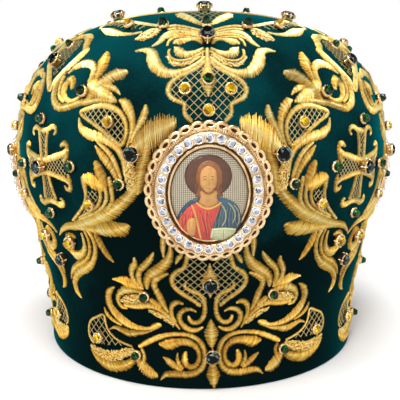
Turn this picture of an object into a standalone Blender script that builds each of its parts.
"""Bishop mitre: a padded velvet crown with raised gold-work embroidery, four framed medallions and set stones.

Lengths here are millimetres and are turned into metres when a mesh is made. The object stands on its rim at
z = 0, its axis is Z and its front looks along -Y. The ornament is drawn on the crown's skin: across in degrees
of azimuth from the middle of a quarter, and up in millimetres of arc from the rim.
"""
import math
from dataclasses import dataclass

import bmesh
import bpy
from mathutils import Matrix, Vector
from mathutils.geometry import delaunay_2d_cdt

MM = 0.001
# In metres, the distance within which a turned piece's doubled points are one.
MERGE = 0.00001


@dataclass(frozen=True)
class Finish:
    """A material: its name, colour, roughness and metallic value."""

    name: str
    colour: tuple
    roughness: float
    metallic: float


VELVET = Finish("velvet", (0.004, 0.024, 0.028), 0.85, 0.0)
GOLD_THREAD = Finish("gold_thread", (0.76, 0.52, 0.18), 0.42, 0.6)
GILT = Finish("gilt", (0.83, 0.62, 0.36), 0.3, 0.9)
ENAMEL = Finish("enamel", (0.42, 0.3, 0.17), 0.45, 0.0)
CUT_GLASS = Finish("cut_glass", (0.02, 0.08, 0.07), 0.08, 0.0)

# The crown: a head girth of about 60 cm, and a padded wall.
HEAD_GIRTH = 603.0
WALL = 4.0
RIM_RADIUS = HEAD_GIRTH / (2 * math.pi) + WALL
CROWN_SEGMENTS = 36
SPAN_STEPS = 24
INNER_ROWS = (0, 3, 6, 9, 11, 13)


@dataclass(frozen=True)
class Row:
    """One level of the crown's outside, with its radius as a share of the rim's."""

    height: float
    radius_share: float


PROFILE = (
    Row(0.0, 1.0),
    Row(20.0, 0.999),
    Row(33.0, 1.011),
    Row(45.0, 1.028),
    Row(67.0, 1.064),
    Row(90.0, 1.119),
    Row(107.0, 1.149),
    Row(120.0, 1.156),
    Row(134.0, 1.145),
    Row(152.0, 1.097),
    Row(168.0, 1.002),
    Row(181.0, 0.860),
    Row(189.0, 0.695),
    Row(194.5, 0.500),
    Row(197.5, 0.280),
    Row(198.5, 0.0),
)

# The ornament repeats in four quarters, which the embroiderers did not space evenly.
PANELS = {"front": 0.0, "right": 89.0, "back": 180.0, "left": -90.0}
DIAGONALS = {"front_left": -44.6, "front_right": 43.0, "back_right": 133.5, "back_left": -136.0}
LEAN_AT_RIM = 2.4
LEAN_FADE = 60.0
RISE_AT_RIM = 4.0
RISE_FADE = 40.0
RISE_SPAN = 25.0
RIGHT_HALF_SHARE = 0.96

# Heights off the crown's skin.
SKIN_GAP = 0.6
RELIEF = 1.2
SEAT_GAP = 0.3
ON_RELIEF = SKIN_GAP + RELIEF + SEAT_GAP

# How far a motif's fused border may stray from its strokes, and how long its straight runs may be, so that
# they follow the round crown.
TOLERANCE = 1.0
RUN = 15.0
EDGE_ROOM = RUN / 3
CLOSE = 0.0001


@dataclass(frozen=True)
class Station:
    """A point of a stroke: degrees across, millimetres up and the stroke's width in millimetres."""

    across: float
    up: float
    width: float


def stroke(*rows):
    """Returns a stroke as its stations, from rows of across, up and width."""
    return tuple(Station(*row) for row in rows)


# Half of a quarter's ornament. The other half is its mirror image.
HALF_PANEL = {
    "crest_leaf": stroke((18, 169.5, 1), (13.4, 167, 4.6), (9.5, 157.6, 5.6), (-0.4, 166, 5)),
    "crest_band": stroke((-0.4, 180.5, 5), (7, 181, 6), (13.9, 171.6, 1)),
    "trefoil_net": stroke((0.6, 163, 3), (4.3, 149, 18), (2.2, 140, 10), (1.6, 127, 8)),
    "volute_ring": stroke(
        (37.6, 160.6, 2), (33, 163.8, 4.4), (29, 158, 3.6), (30, 144.6, 5), (38, 141.4, 4.4), (40.6, 149, 4.4),
        (36.4, 154.6, 5.2)),
    "volute_lobe": stroke((20, 157, 5), (30, 148, 9)),
    "volute_neck": stroke((27, 150, 8), (24.6, 138.6, 4)),
    "petal_long": stroke((31, 135.4, 1), (28, 129, 4.6), (19.6, 120, 5), (18.6, 106, 8)),
    "petal_lens": stroke((31, 139, 1.4), (22.6, 137.4, 6.4), (18.2, 116, 4)),
    "petal_broad": stroke((8.6, 133.6, 7), (18.4, 115, 7)),
    "petal_root": stroke((18.4, 112, 7), (11.6, 106, 7)),
    "stem": stroke((18.6, 106, 8), (20, 96, 7), (30, 85.6, 8), (38.6, 81.8, 4), (44.2, 76.2, 1)),
    "brow": stroke((29.6, 107.4, 7), (24.6, 107, 7), (24.4, 98, 7), (30, 87.6, 6)),
    "lobe": stroke((20.4, 84.6, 6.4), (34, 82.4, 6)),
    "tail": stroke((33.4, 82, 5), (31.7, 73, 5.6), (34.6, 64.6, 9), (40.4, 55, 7), (39.9, 41.5, 1)),
    "flame": stroke((8.4, 84, 2.6), (10.6, 67, 5), (15.4, 59, 4.6), (16.3, 49.6, 5)),
    "flame_leaf": stroke((26, 56, 1), (20.6, 53, 9), (6, 31.6, 3)),
    "crescent": stroke((26, 51.8, 1), (28.6, 45.4, 4), (27, 36, 6.4), (19, 29.8, 5), (9.8, 37, 2)),
    "pendant_net": stroke((2.4, 78, 10), (2.8, 66, 11), (4.4, 57, 18), (0.4, 43, 3)),
    "scroll": stroke((20.4, 18.6, 5), (12, 28, 3.4), (4.8, 29.6, 3.4), (0.4, 20, 3), (3, 8.4, 3.4), (13, 4.6, 1)),
    "shell": stroke((19, 16.6, 6), (28.6, 10.4, 11), (37, 13.6, 3)),
    "shell_net": stroke((19.6, 17.6, 3), (34.8, 23.4, 12), (32, 33.6, 2)),
}
# Strokes on the quarter's middle line, which carry its stones.
MID_PANEL = {
    "crest_drop": stroke((0, 185, 7.4), (0, 177.5, 8.6), (0, 158, 3)),
    "pendant_drop": stroke((0, 69, 2), (0, 57.5, 9.4), (0, 46, 2), (0, 34, 2)),
    "spindle": stroke((0, 38, 1.6), (0, 31, 6.6), (0, 24.6, 4), (0, 19.3, 8.6), (0, 6.6, 6), (0, 1.6, 1)),
}
# The cross and the vee stand on the lines between the quarters, and mirror themselves.
HALF_CROSS = {
    "top_bar": stroke((-0.3, 130.8, 2.8), (3.8, 132, 2.8), (5.4, 129, 1.6)),
    "upright": stroke((2, 130.6, 2.4), (1.3, 112.6, 2.6), (2.7, 94.4, 2.4)),
    "upper_arm": stroke((-0.3, 115.8, 3.2), (6, 117.8, 3), (9.5, 121.2, 3)),
    "lower_arm": stroke((-0.3, 109.4, 3.2), (6, 107.8, 3), (9.6, 104.2, 3)),
    "bottom_bar": stroke((-0.3, 94.4, 3), (3.8, 93, 3.4), (5.6, 95.8, 1.8)),
}
HALF_VEE = {
    "limb": stroke((0, 151.6, 2.4), (2.7, 159.4, 4), (8.8, 171.4, 4.8)),
    "loop": stroke((8.8, 171.2, 5), (6.4, 181, 5), (0, 186.4, 4.4)),
    "field": stroke((0, 153, 2), (0, 169.5, 12), (0, 186, 12)),
}


@dataclass(frozen=True)
class Stone:
    """A main stone in its setting: its place on a quarter, its girdle's radius and what it stands on."""

    across: float
    up: float
    radius: float
    seat: float


STONE_HEIGHT = 5.0
STONE_SIDES = 8
CUP_SHARE = 0.8
TABLE_SHARE = 0.55
GIRDLE_LEVEL = 0.62
MID_STONES = {
    "crest": Stone(0, 177.5, 4.1, ON_RELIEF),
    "pendant": Stone(0, 57.5, 4.0, ON_RELIEF),
    "foot": Stone(0, 19.3, 4.1, ON_RELIEF),
}
SIDE_STONE = Stone(16.2, 119.6, 4.0, ON_RELIEF)
DIAGONAL_STONES = {
    "vee": Stone(0, 169.5, 4.4, ON_RELIEF),
    "cross": Stone(0, 112.6, 4.1, ON_RELIEF),
    "seam": Stone(0, 62.4, 4.2, SEAT_GAP),
}

# The medallions: across is half an angle and up is half an arc, both at the frame's own height.
MEDALLION_ACROSS = 0.4
MEDALLION_UP = 102.0
FRAME_HALF_ACROSS = 13.8
FRAME_HALF_UP = 31.4
OPENING_HALF_ACROSS = 9.1
OPENING_HALF_UP = 22.2
SCALLOPS = 30
SCALLOP_SHARE = 0.965
FOOT_SHARE = 0.945
FRAME_FOOT = ON_RELIEF
FRAME_EDGE = 3.2
FRAME_CREST = 6.0
FRAME_LIP = 5.2
CREST_SHARE = 0.55
BED_SHARES = (0.93, 0.74)
BED_STEPS = 14
PLAQUE_STEPS = 16
PLAQUE_SHARE = 0.97
PLAQUE_INNER_SHARE = 0.485
PLAQUE_EDGE = 3.0
PLAQUE_CREST = 4.2

# The collar and the tall chatons round the top.
COLLAR_UP = 213.0
COLLAR_WIDTH = 9.0
COLLAR_HEIGHT = 1.6
COLLAR_STEPS = 16
CHATONS = 8
CHATON_RADIUS = 4.6
CHATON_HEIGHT = 8.0


def spline(points, per_span):
    """Returns points on a centripetal Catmull-Rom curve through the given (radius, height) points."""
    first, last = points[0], points[-1]
    before = (2 * first[0] - points[1][0], 2 * first[1] - points[1][1])
    after = (-points[-2][0], points[-2][1])
    ends = [Vector(p) for p in (before, *points, after)]
    knots = [0.0]
    for here, there in zip(ends, ends[1:]):
        knots.append(knots[-1] + (there - here).length)
    curve = []
    for i in range(1, len(ends) - 2):
        span = knots[i + 1] - knots[i]
        slope_in = catmull_slope(ends[i - 1:i + 2], knots[i - 1:i + 2], span, inward=False)
        slope_out = catmull_slope(ends[i:i + 3], knots[i:i + 3], span, inward=True)
        for step in range(per_span):
            s = step / per_span
            curve.append((2 * s**3 - 3 * s**2 + 1) * ends[i] + (s**3 - 2 * s**2 + s) * slope_in
                         + (3 * s**2 - 2 * s**3) * ends[i + 1] + (s**3 - s**2) * slope_out)
    curve.append(Vector(last))
    return curve


def catmull_slope(three, knots, span, inward):
    """Returns the curve's slope at the middle of three points, scaled to one span."""
    back = (three[1] - three[0]) / (knots[1] - knots[0])
    over = (three[2] - three[0]) / (knots[2] - knots[0])
    front = (three[2] - three[1]) / (knots[2] - knots[1])
    return (back - over + front) * span


class Skin:
    """The crown's outer surface, by azimuth and by arc length up from the rim."""

    def __init__(self, rows, rim_radius):
        self.line = spline([(rim_radius * row.radius_share, row.height) for row in rows], SPAN_STEPS)
        self.arc = [0.0]
        for here, there in zip(self.line, self.line[1:]):
            self.arc.append(self.arc[-1] + (there - here).length)

    def section(self, up, off=0.0):
        """Returns the radius and the height of the point off the skin at an arc length."""
        radius, height, normal = self.level(up)
        return radius + off * normal.x, height + off * normal.y

    def level(self, up):
        """Returns the radius, the height and the outward normal (radial, vertical) at an arc length."""
        up = min(max(up, 0.0), self.arc[-1])
        i = max(1, next((k for k, value in enumerate(self.arc) if value >= up), len(self.arc) - 1))
        share = (up - self.arc[i - 1]) / (self.arc[i] - self.arc[i - 1])
        here = self.line[i - 1].lerp(self.line[i], share)
        along = (self.line[i] - self.line[i - 1]).normalized()
        return here.x, here.y, Vector((along.y, -along.x))

    def point(self, azimuth, up, off=0.0):
        """Returns the point off the skin at an azimuth in degrees, with 0 at the front and 90 at +X."""
        radius, height = self.section(up, off)
        turn = math.radians(azimuth)
        return Vector((radius * math.sin(turn), -radius * math.cos(turn), height))

    def degree(self, up):
        """Returns the length of one degree of azimuth at an arc length."""
        return math.radians(max(self.level(up)[0], 1.0))

    def frame(self, azimuth, up):
        """Returns the point on the skin with the directions across, up and out."""
        out = (self.point(azimuth, up, 1.0) - self.point(azimuth, up)).normalized()
        turn = math.radians(azimuth)
        across = Vector((math.cos(turn), math.sin(turn), 0.0))
        return self.point(azimuth, up), across, out.cross(across), out


SKIN = Skin(PROFILE, RIM_RADIUS)


def lean(up):
    """Returns how far a quarter's middle line has drifted sideways, in degrees."""
    return LEAN_AT_RIM * math.exp(-up / LEAN_FADE)


def on_panel(centre, side, across, up):
    """Returns the azimuth and arc of a place on a quarter's left (-1) or right (1) half or middle line (0)."""
    if side < 0:
        return centre - across, up
    if side == 0:
        return centre + lean(up), up
    rise = RISE_AT_RIM * math.exp(-up / RISE_FADE) * across / RISE_SPAN
    return centre + lean(up) + (across + lean(up)) * RIGHT_HALF_SHARE, up + rise


def make_material(finish):
    """Returns the finish's material, made on its first use."""
    if finish.name in bpy.data.materials:
        return bpy.data.materials[finish.name]
    material = bpy.data.materials.new(finish.name)
    material.use_nodes = True
    shader = material.node_tree.nodes["Principled BSDF"]
    shader.inputs["Base Color"].default_value = (*finish.colour, 1.0)
    shader.inputs["Roughness"].default_value = finish.roughness
    shader.inputs["Metallic"].default_value = finish.metallic
    return material


def make_mesh(name, vertices, edges, faces):
    """Returns a mesh from places given in millimetres."""
    mesh = bpy.data.meshes.new(name)
    mesh.from_pydata([tuple(Vector(v) * MM) for v in vertices], edges, faces)
    return mesh


def add_piece(name, mesh, finish, collection="bishop_mitre"):
    """Adds a piece with its finish to a collection of the scene."""
    if not mesh.materials:
        mesh.materials.append(make_material(finish))
    item = bpy.data.objects.new(name, mesh)
    bpy.data.collections[collection].objects.link(item)
    return item


def add_lofted(name, rings, finish, closed=False):
    """Adds a closed piece whose skin joins rings of points, and turns its faces outward."""
    vertices, faces = loft(rings, closed)
    mesh = make_mesh(name, vertices, [], faces)
    work = bmesh.new()
    work.from_mesh(mesh)
    bmesh.ops.recalc_face_normals(work, faces=work.faces)
    work.to_mesh(mesh)
    work.free()
    return add_piece(name, mesh, finish)


def turned_mesh(name, profile, closed=False):
    """Returns the mesh of a turned piece's profile, which runs down its outer side from the top."""
    edges = [(k, k + 1) for k in range(len(profile) - 1)]
    if closed:
        edges.append((len(profile) - 1, 0))
    return make_mesh(name, [(radius, 0.0, height) for radius, height in profile], edges, [])


def turn_round(item, steps):
    """Turns a piece's profile about its own Z axis."""
    screw = item.modifiers.new("turn", "SCREW")
    screw.steps = steps
    screw.render_steps = steps
    screw.use_merge_vertices = True
    screw.merge_threshold = MERGE
    return item


def place(item, azimuth, up):
    """Stands a piece on the skin, with its Z axis pointing out."""
    origin, across, along, out = SKIN.frame(azimuth, up)
    item.location = origin * MM
    item.rotation_euler = Matrix((across, along, out)).transposed().to_euler()


def loft(rings, closed=False):
    """Returns vertices and faces of rings joined in turn, capped at both ends or closed on themselves."""
    vertices = [point for ring in rings for point in ring]
    starts = [sum(len(r) for r in rings[:i]) for i in range(len(rings))]
    faces = []
    pairs = list(zip(range(len(rings)), range(1, len(rings))))
    if closed:
        pairs.append((len(rings) - 1, 0))
    for low, high in pairs:
        faces += bridge(starts[low], len(rings[low]), starts[high], len(rings[high]))
    ends = () if closed else (0, len(rings) - 1)
    faces += [[starts[i] + k for k in range(len(rings[i]))] for i in ends if len(rings[i]) > 1]
    return vertices, faces


def bridge(low, low_count, high, high_count):
    """Returns the faces between two rings, where one may have twice the points of the other, or one point."""
    if high_count == 1:
        return [[low + k, low + (k + 1) % low_count, high] for k in range(low_count)]
    if low_count == 1:
        return [[low, high + (k + 1) % high_count, high + k] for k in range(high_count)]
    if low_count == high_count:
        return [[low + k, low + (k + 1) % low_count, high + (k + 1) % low_count, high + k]
                for k in range(low_count)]
    faces = []
    few, many, few_at, many_at = sorted_rings(low, low_count, high, high_count)
    for k in range(few):
        here, there = few_at + k, few_at + (k + 1) % few
        left, middle, right = (many_at + (2 * k + i) % many for i in range(3))
        faces += [[here, left, middle], [here, middle, there], [there, middle, right]]
    return faces


def sorted_rings(low, low_count, high, high_count):
    """Returns the counts and first vertices of two rings, the one with fewer points first."""
    if low_count < high_count:
        return low_count, high_count, low, high
    return high_count, low_count, high, low


def make_crown():
    """Makes the padded crown: a turned shell, open below, that stands on its flat rim."""
    arcs = [SKIN.arc[SPAN_STEPS * i] for i in range(len(PROFILE))]
    profile = [SKIN.section(up) for up in reversed(arcs)]
    profile += [SKIN.section(arcs[i], -WALL) for i in INNER_ROWS]
    profile[len(arcs)] = (RIM_RADIUS - WALL, 0.0)
    profile.append((0.0, PROFILE[-1].height - WALL))
    turn_round(add_piece("crown", turned_mesh("crown", profile), VELVET), CROWN_SEGMENTS)


def smooth(stations):
    """Returns a stroke's stations with more of them between, on a smooth curve, about one run apart."""
    ends = (stations[0], *stations, stations[-1])
    finer = []
    for p, q, r, s in zip(ends, ends[1:], ends[2:], ends[3:]):
        length = math.hypot((r.across - q.across) * SKIN.degree(q.up), r.up - q.up)
        steps = max(1, math.ceil(length / RUN))
        for step in range(steps):
            t = step / steps
            finer.append(Station(*(blend(getattr(p, f), getattr(q, f), getattr(r, f), getattr(s, f), t)
                                   for f in ("across", "up", "width"))))
    finer.append(stations[-1])
    return finer


def blend(before, here, there, after, t):
    """Returns a Catmull-Rom value between two values."""
    return here + 0.5 * t * (there - before + t * (2 * before - 5 * here + 4 * there - after
                                                   + t * (3 * (here - there) + after - before)))


def stroke_quads(stations, place):
    """Returns a stroke's quads, as corners across and up, from its stations' places and widths."""
    stations = smooth(stations)
    spots = [place(s.across, s.up) for s in stations]
    sides = []
    for i, ((azimuth, up), station) in enumerate(zip(spots, stations)):
        before, after = spots[max(i - 1, 0)], spots[min(i + 1, len(spots) - 1)]
        degree = SKIN.degree(up)
        along = Vector(((after[0] - before[0]) * degree, after[1] - before[1])).normalized()
        shift = Vector((-along.y / degree, along.x)) * station.width / 2
        sides.append(((azimuth + shift.x, up + shift.y), (azimuth - shift.x, up - shift.y)))
    return [(a[0], a[1], b[1], b[0]) for a, b in zip(sides, sides[1:])]


def fuse(quads):
    """Returns the flat union of overlapping quads, as its straightened border and inner points in triangles."""
    across = math.radians(RIM_RADIUS)
    corners = [[Vector((azimuth * across, up)) for azimuth, up in quad] for quad in quads]
    halves = [widdershins(half) for a, b, c, d in corners for half in ((a, b, c), (a, c, d))]
    points = [p for half in halves for p in half]
    faces = [[3 * k, 3 * k + 1, 3 * k + 2] for k in range(len(halves))]
    spots, _, triangles, _, _, sources = delaunay_2d_cdt(points, [], faces, 0, CLOSE)
    covered = [triangle for triangle, source in zip(triangles, sources) if source]
    loops = [straighten([spots[k] for k in loop]) for loop in border_loops(covered)]
    points = [p for loop in loops for p in loop]
    edges, start = [], 0
    for loop in loops:
        edges += [(start + k, start + (k + 1) % len(loop)) for k in range(len(loop))]
        start += len(loop)
    points += inner_points(loops)
    spots, _, triangles, _, _, _ = delaunay_2d_cdt(points, edges, [], 0, CLOSE)
    kept = [t for t in triangles if inside(sum((spots[k] for k in t), Vector((0, 0))) / 3, loops)]
    return [(p.x / across, p.y) for p in spots], kept


def widdershins(corners):
    """Returns a triangle's corners in anticlockwise order."""
    a, b, c = corners
    return (a, b, c) if (b - a).cross(c - a) > 0 else (a, c, b)


def border_loops(triangles):
    """Returns the closed loops of points round a set of triangles, holes included."""
    edges = {(here, there) for t in triangles for here, there in zip(t, t[1:] + t[:1])}
    following = {here: there for here, there in edges if (there, here) not in edges}
    loops = []
    while following:
        loop = [next(iter(following))]
        while loop[-1] in following:
            loop.append(following.pop(loop[-1]))
        loops.append(loop[:-1])
    return [loop for loop in loops if len(loop) > 2]


def straighten(loop):
    """Returns a loop without the points that lie within the tolerance of a line past them."""
    kept = list(loop)
    while len(kept) > 4:
        strays = [stray(kept[k - 1], kept[k], kept[(k + 1) % len(kept)]) for k in range(len(kept))]
        least = min(range(len(kept)), key=strays.__getitem__)
        if strays[least] > TOLERANCE:
            break
        del kept[least]
    return kept


def stray(before, here, after):
    """Returns how far a point lies from the line between its neighbours, or a run's length if that is long."""
    along = after - before
    if along.length < TOLERANCE:
        return 0.0
    if along.length > RUN:
        return along.length
    return abs(along.cross(here - before)) / along.length


def inner_points(loops):
    """Returns points on a grid inside the loops and well off their edges, which bend wide places."""
    edges = [edge for loop in loops for edge in zip(loop, loop[1:] + loop[:1])]
    across = sorted(p.x for loop in loops for p in loop)
    upward = sorted(p.y for loop in loops for p in loop)
    found = []
    for i in range(int((across[-1] - across[0]) / RUN)):
        for j in range(int((upward[-1] - upward[0]) / RUN)):
            spot = Vector((across[0] + (i + 0.5) * RUN, upward[0] + (j + 0.5) * RUN))
            if inside(spot, loops) and all(edge_distance(spot, *edge) > EDGE_ROOM for edge in edges):
                found.append(spot)
    return found


def edge_distance(spot, here, there):
    """Returns a point's distance from an edge."""
    along = there - here
    share = min(max((spot - here).dot(along) / max(along.length_squared, CLOSE), 0.0), 1.0)
    return (spot - here - along * share).length


def inside(spot, loops):
    """Tells whether a point is inside an odd number of loops."""
    crossings = 0
    for loop in loops:
        for here, there in zip(loop, loop[1:] + loop[:1]):
            if (here.y > spot.y) != (there.y > spot.y):
                crossings += spot.x < here.x + (spot.y - here.y) * (there.x - here.x) / (there.y - here.y)
    return crossings % 2 == 1


def make_relief(name, quads):
    """Makes a raised solid that follows the skin, from the union of a motif's quads."""
    flat, triangles = fuse(quads)
    vertices = [SKIN.point(azimuth, up, SKIN_GAP) for azimuth, up in flat]
    relief = add_piece(name, make_mesh(name, vertices, [], triangles), GOLD_THREAD)
    padding = relief.modifiers.new("padding", "SOLIDIFY")
    padding.thickness = RELIEF * MM
    padding.offset = 1.0


def bed_quads(centre):
    """Returns the quads of the padded bed under a medallion's frame."""
    ring = []
    for k in range(BED_STEPS):
        turn = 2 * math.pi * k / BED_STEPS
        ring.append([frame_spot(centre, turn, share) for share in BED_SHARES])
    return [(a[0], b[0], b[1], a[1]) for a, b in zip(ring, ring[1:] + ring[:1])]


def make_panel(side_name, centre):
    """Makes one quarter's embroidery, both halves and the middle line as one solid."""
    quads = bed_quads(centre)
    for side in (-1, 1):
        for stations in HALF_PANEL.values():
            quads += stroke_quads(stations, lambda across, up, s=side: on_panel(centre, s, across, up))
    for stations in MID_PANEL.values():
        quads += stroke_quads(stations, lambda across, up: on_panel(centre, 0, across, up))
    make_relief(f"embroidery_{side_name}", quads)


def make_diagonal(name, centre, motif, strokes):
    """Makes a motif that mirrors itself about a line between two quarters."""
    quads = []
    for side in (-1, 1):
        for stations in strokes.values():
            quads += stroke_quads(stations, lambda across, up, s=side: (centre + s * across, up))
    make_relief(f"{motif}_{name}", quads)


def stone_profile(radius, low, high):
    """Returns the profile of a stone in its cup: the table, the crown's facets, the girdle and the cup."""
    girdle = low + (high - low) * GIRDLE_LEVEL
    return [(0.0, high), (radius * TABLE_SHARE, high), (radius, girdle), (radius * CUP_SHARE, low), (0.0, low)]


def make_stone(name, azimuth, stone, mesh):
    """Makes a main stone fused to its cup, with a table and eight facets."""
    place(turn_round(add_piece(name, mesh, CUT_GLASS), STONE_SIDES), azimuth, stone.up)


def stone_mesh(name, stone):
    """Returns the profile that the stones of one kind share."""
    return turned_mesh(name, stone_profile(stone.radius, stone.seat, stone.seat + STONE_HEIGHT))


def frame_spot(centre, turn, share, half_across=FRAME_HALF_ACROSS, half_up=FRAME_HALF_UP):
    """Returns the azimuth and arc of a place on a medallion's oval."""
    return (centre + MEDALLION_ACROSS + half_across * share * math.sin(turn),
            MEDALLION_UP + half_up * share * math.cos(turn))


def oval_ring(centre, count, share, off, half_across=FRAME_HALF_ACROSS, half_up=FRAME_HALF_UP):
    """Returns a ring of points over the skin on a medallion's oval."""
    spots = (frame_spot(centre, 2 * math.pi * k / count, share, half_across, half_up) for k in range(count))
    return [SKIN.point(azimuth, up, off) for azimuth, up in spots]


def make_medallion(side_name, centre):
    """Makes a medallion's scalloped frame and its slightly domed plaque."""
    inner = OPENING_HALF_UP / FRAME_HALF_UP
    crest = inner + (1 - inner) * CREST_SHARE
    edge = []
    for k in range(2 * SCALLOPS):
        share = 1.0 if k % 2 else SCALLOP_SHARE
        edge.append(SKIN.point(*frame_spot(centre, math.pi * k / SCALLOPS, share), FRAME_EDGE))
    opening = {"half_across": OPENING_HALF_ACROSS, "half_up": OPENING_HALF_UP}
    rings = [
        oval_ring(centre, SCALLOPS, FOOT_SHARE, FRAME_FOOT),
        edge,
        oval_ring(centre, SCALLOPS, crest, FRAME_CREST),
        oval_ring(centre, SCALLOPS, 1.0, FRAME_LIP, **opening),
        oval_ring(centre, SCALLOPS // 2, 1.0, FRAME_FOOT, **opening),
    ]
    add_lofted(f"medallion_frame_{side_name}", rings, GILT, closed=True)
    plaque = [
        oval_ring(centre, 1, 0.0, SKIN_GAP, **opening),
        oval_ring(centre, PLAQUE_STEPS // 2, PLAQUE_INNER_SHARE, SKIN_GAP, **opening),
        oval_ring(centre, PLAQUE_STEPS, PLAQUE_SHARE, SKIN_GAP, **opening),
        oval_ring(centre, PLAQUE_STEPS, PLAQUE_SHARE, PLAQUE_EDGE, **opening),
        oval_ring(centre, PLAQUE_STEPS // 2, PLAQUE_INNER_SHARE, PLAQUE_CREST, **opening),
        oval_ring(centre, 1, 0.0, PLAQUE_CREST, **opening),
    ]
    add_lofted(f"medallion_plaque_{side_name}", plaque, ENAMEL)


def make_top_ring():
    """Makes the ring round the top as one solid: a low collar with tall chatons fused to it."""
    half = COLLAR_WIDTH / 2
    top = SKIN_GAP + COLLAR_HEIGHT
    corners = ((COLLAR_UP + half, top), (COLLAR_UP - half, top), (COLLAR_UP - half, SKIN_GAP),
               (COLLAR_UP + half, SKIN_GAP))
    section = [SKIN.section(up, off) for up, off in corners]
    ring = turn_round(add_piece("top_ring", turned_mesh("top_ring", section, closed=True), GILT), COLLAR_STEPS)
    profile = stone_profile(CHATON_RADIUS, SKIN_GAP + COLLAR_HEIGHT / 2, CHATON_HEIGHT)
    mesh = turned_mesh("chaton", profile)
    for k in range(CHATONS):
        chaton = turn_round(add_piece(f"chaton_{k}", mesh, GILT, "joined_to_the_top_ring"), STONE_SIDES)
        place(chaton, 360.0 * k / CHATONS, COLLAR_UP)
        chaton.hide_render = True
        chaton.display_type = "WIRE"
    join = ring.modifiers.new("chatons", "BOOLEAN")
    join.operation = "UNION"
    join.solver = "EXACT"
    join.operand_type = "COLLECTION"
    join.collection = bpy.data.collections["joined_to_the_top_ring"]


def make_stones():
    """Makes the main stones of the four quarters and of the lines between them."""
    for kind, stone in MID_STONES.items():
        mesh = stone_mesh(kind, stone)
        for side_name, centre in PANELS.items():
            make_stone(f"stone_{kind}_{side_name}", on_panel(centre, 0, stone.across, stone.up)[0], stone, mesh)
    mesh = stone_mesh("side", SIDE_STONE)
    for side_name, centre in PANELS.items():
        for side, half in ((-1, "a"), (1, "b")):
            azimuth = on_panel(centre, side, SIDE_STONE.across, SIDE_STONE.up)[0]
            make_stone(f"stone_side_{side_name}_{half}", azimuth, SIDE_STONE, mesh)
    for kind, stone in DIAGONAL_STONES.items():
        mesh = stone_mesh(kind, stone)
        for name, centre in DIAGONALS.items():
            make_stone(f"stone_{kind}_{name}", centre, stone, mesh)


def build():
    """Makes every piece of the mitre in an empty scene."""
    for item in list(bpy.data.objects):
        bpy.data.objects.remove(item)
    for name in ("bishop_mitre", "joined_to_the_top_ring"):
        bpy.context.scene.collection.children.link(bpy.data.collections.new(name))
    make_crown()
    for side_name, centre in PANELS.items():
        make_panel(side_name, centre)
        make_medallion(side_name, centre)
    for name, centre in DIAGONALS.items():
        make_diagonal(name, centre, "cross", HALF_CROSS)
        make_diagonal(name, centre, "vee", HALF_VEE)
    make_stones()
    make_top_ring()


build()
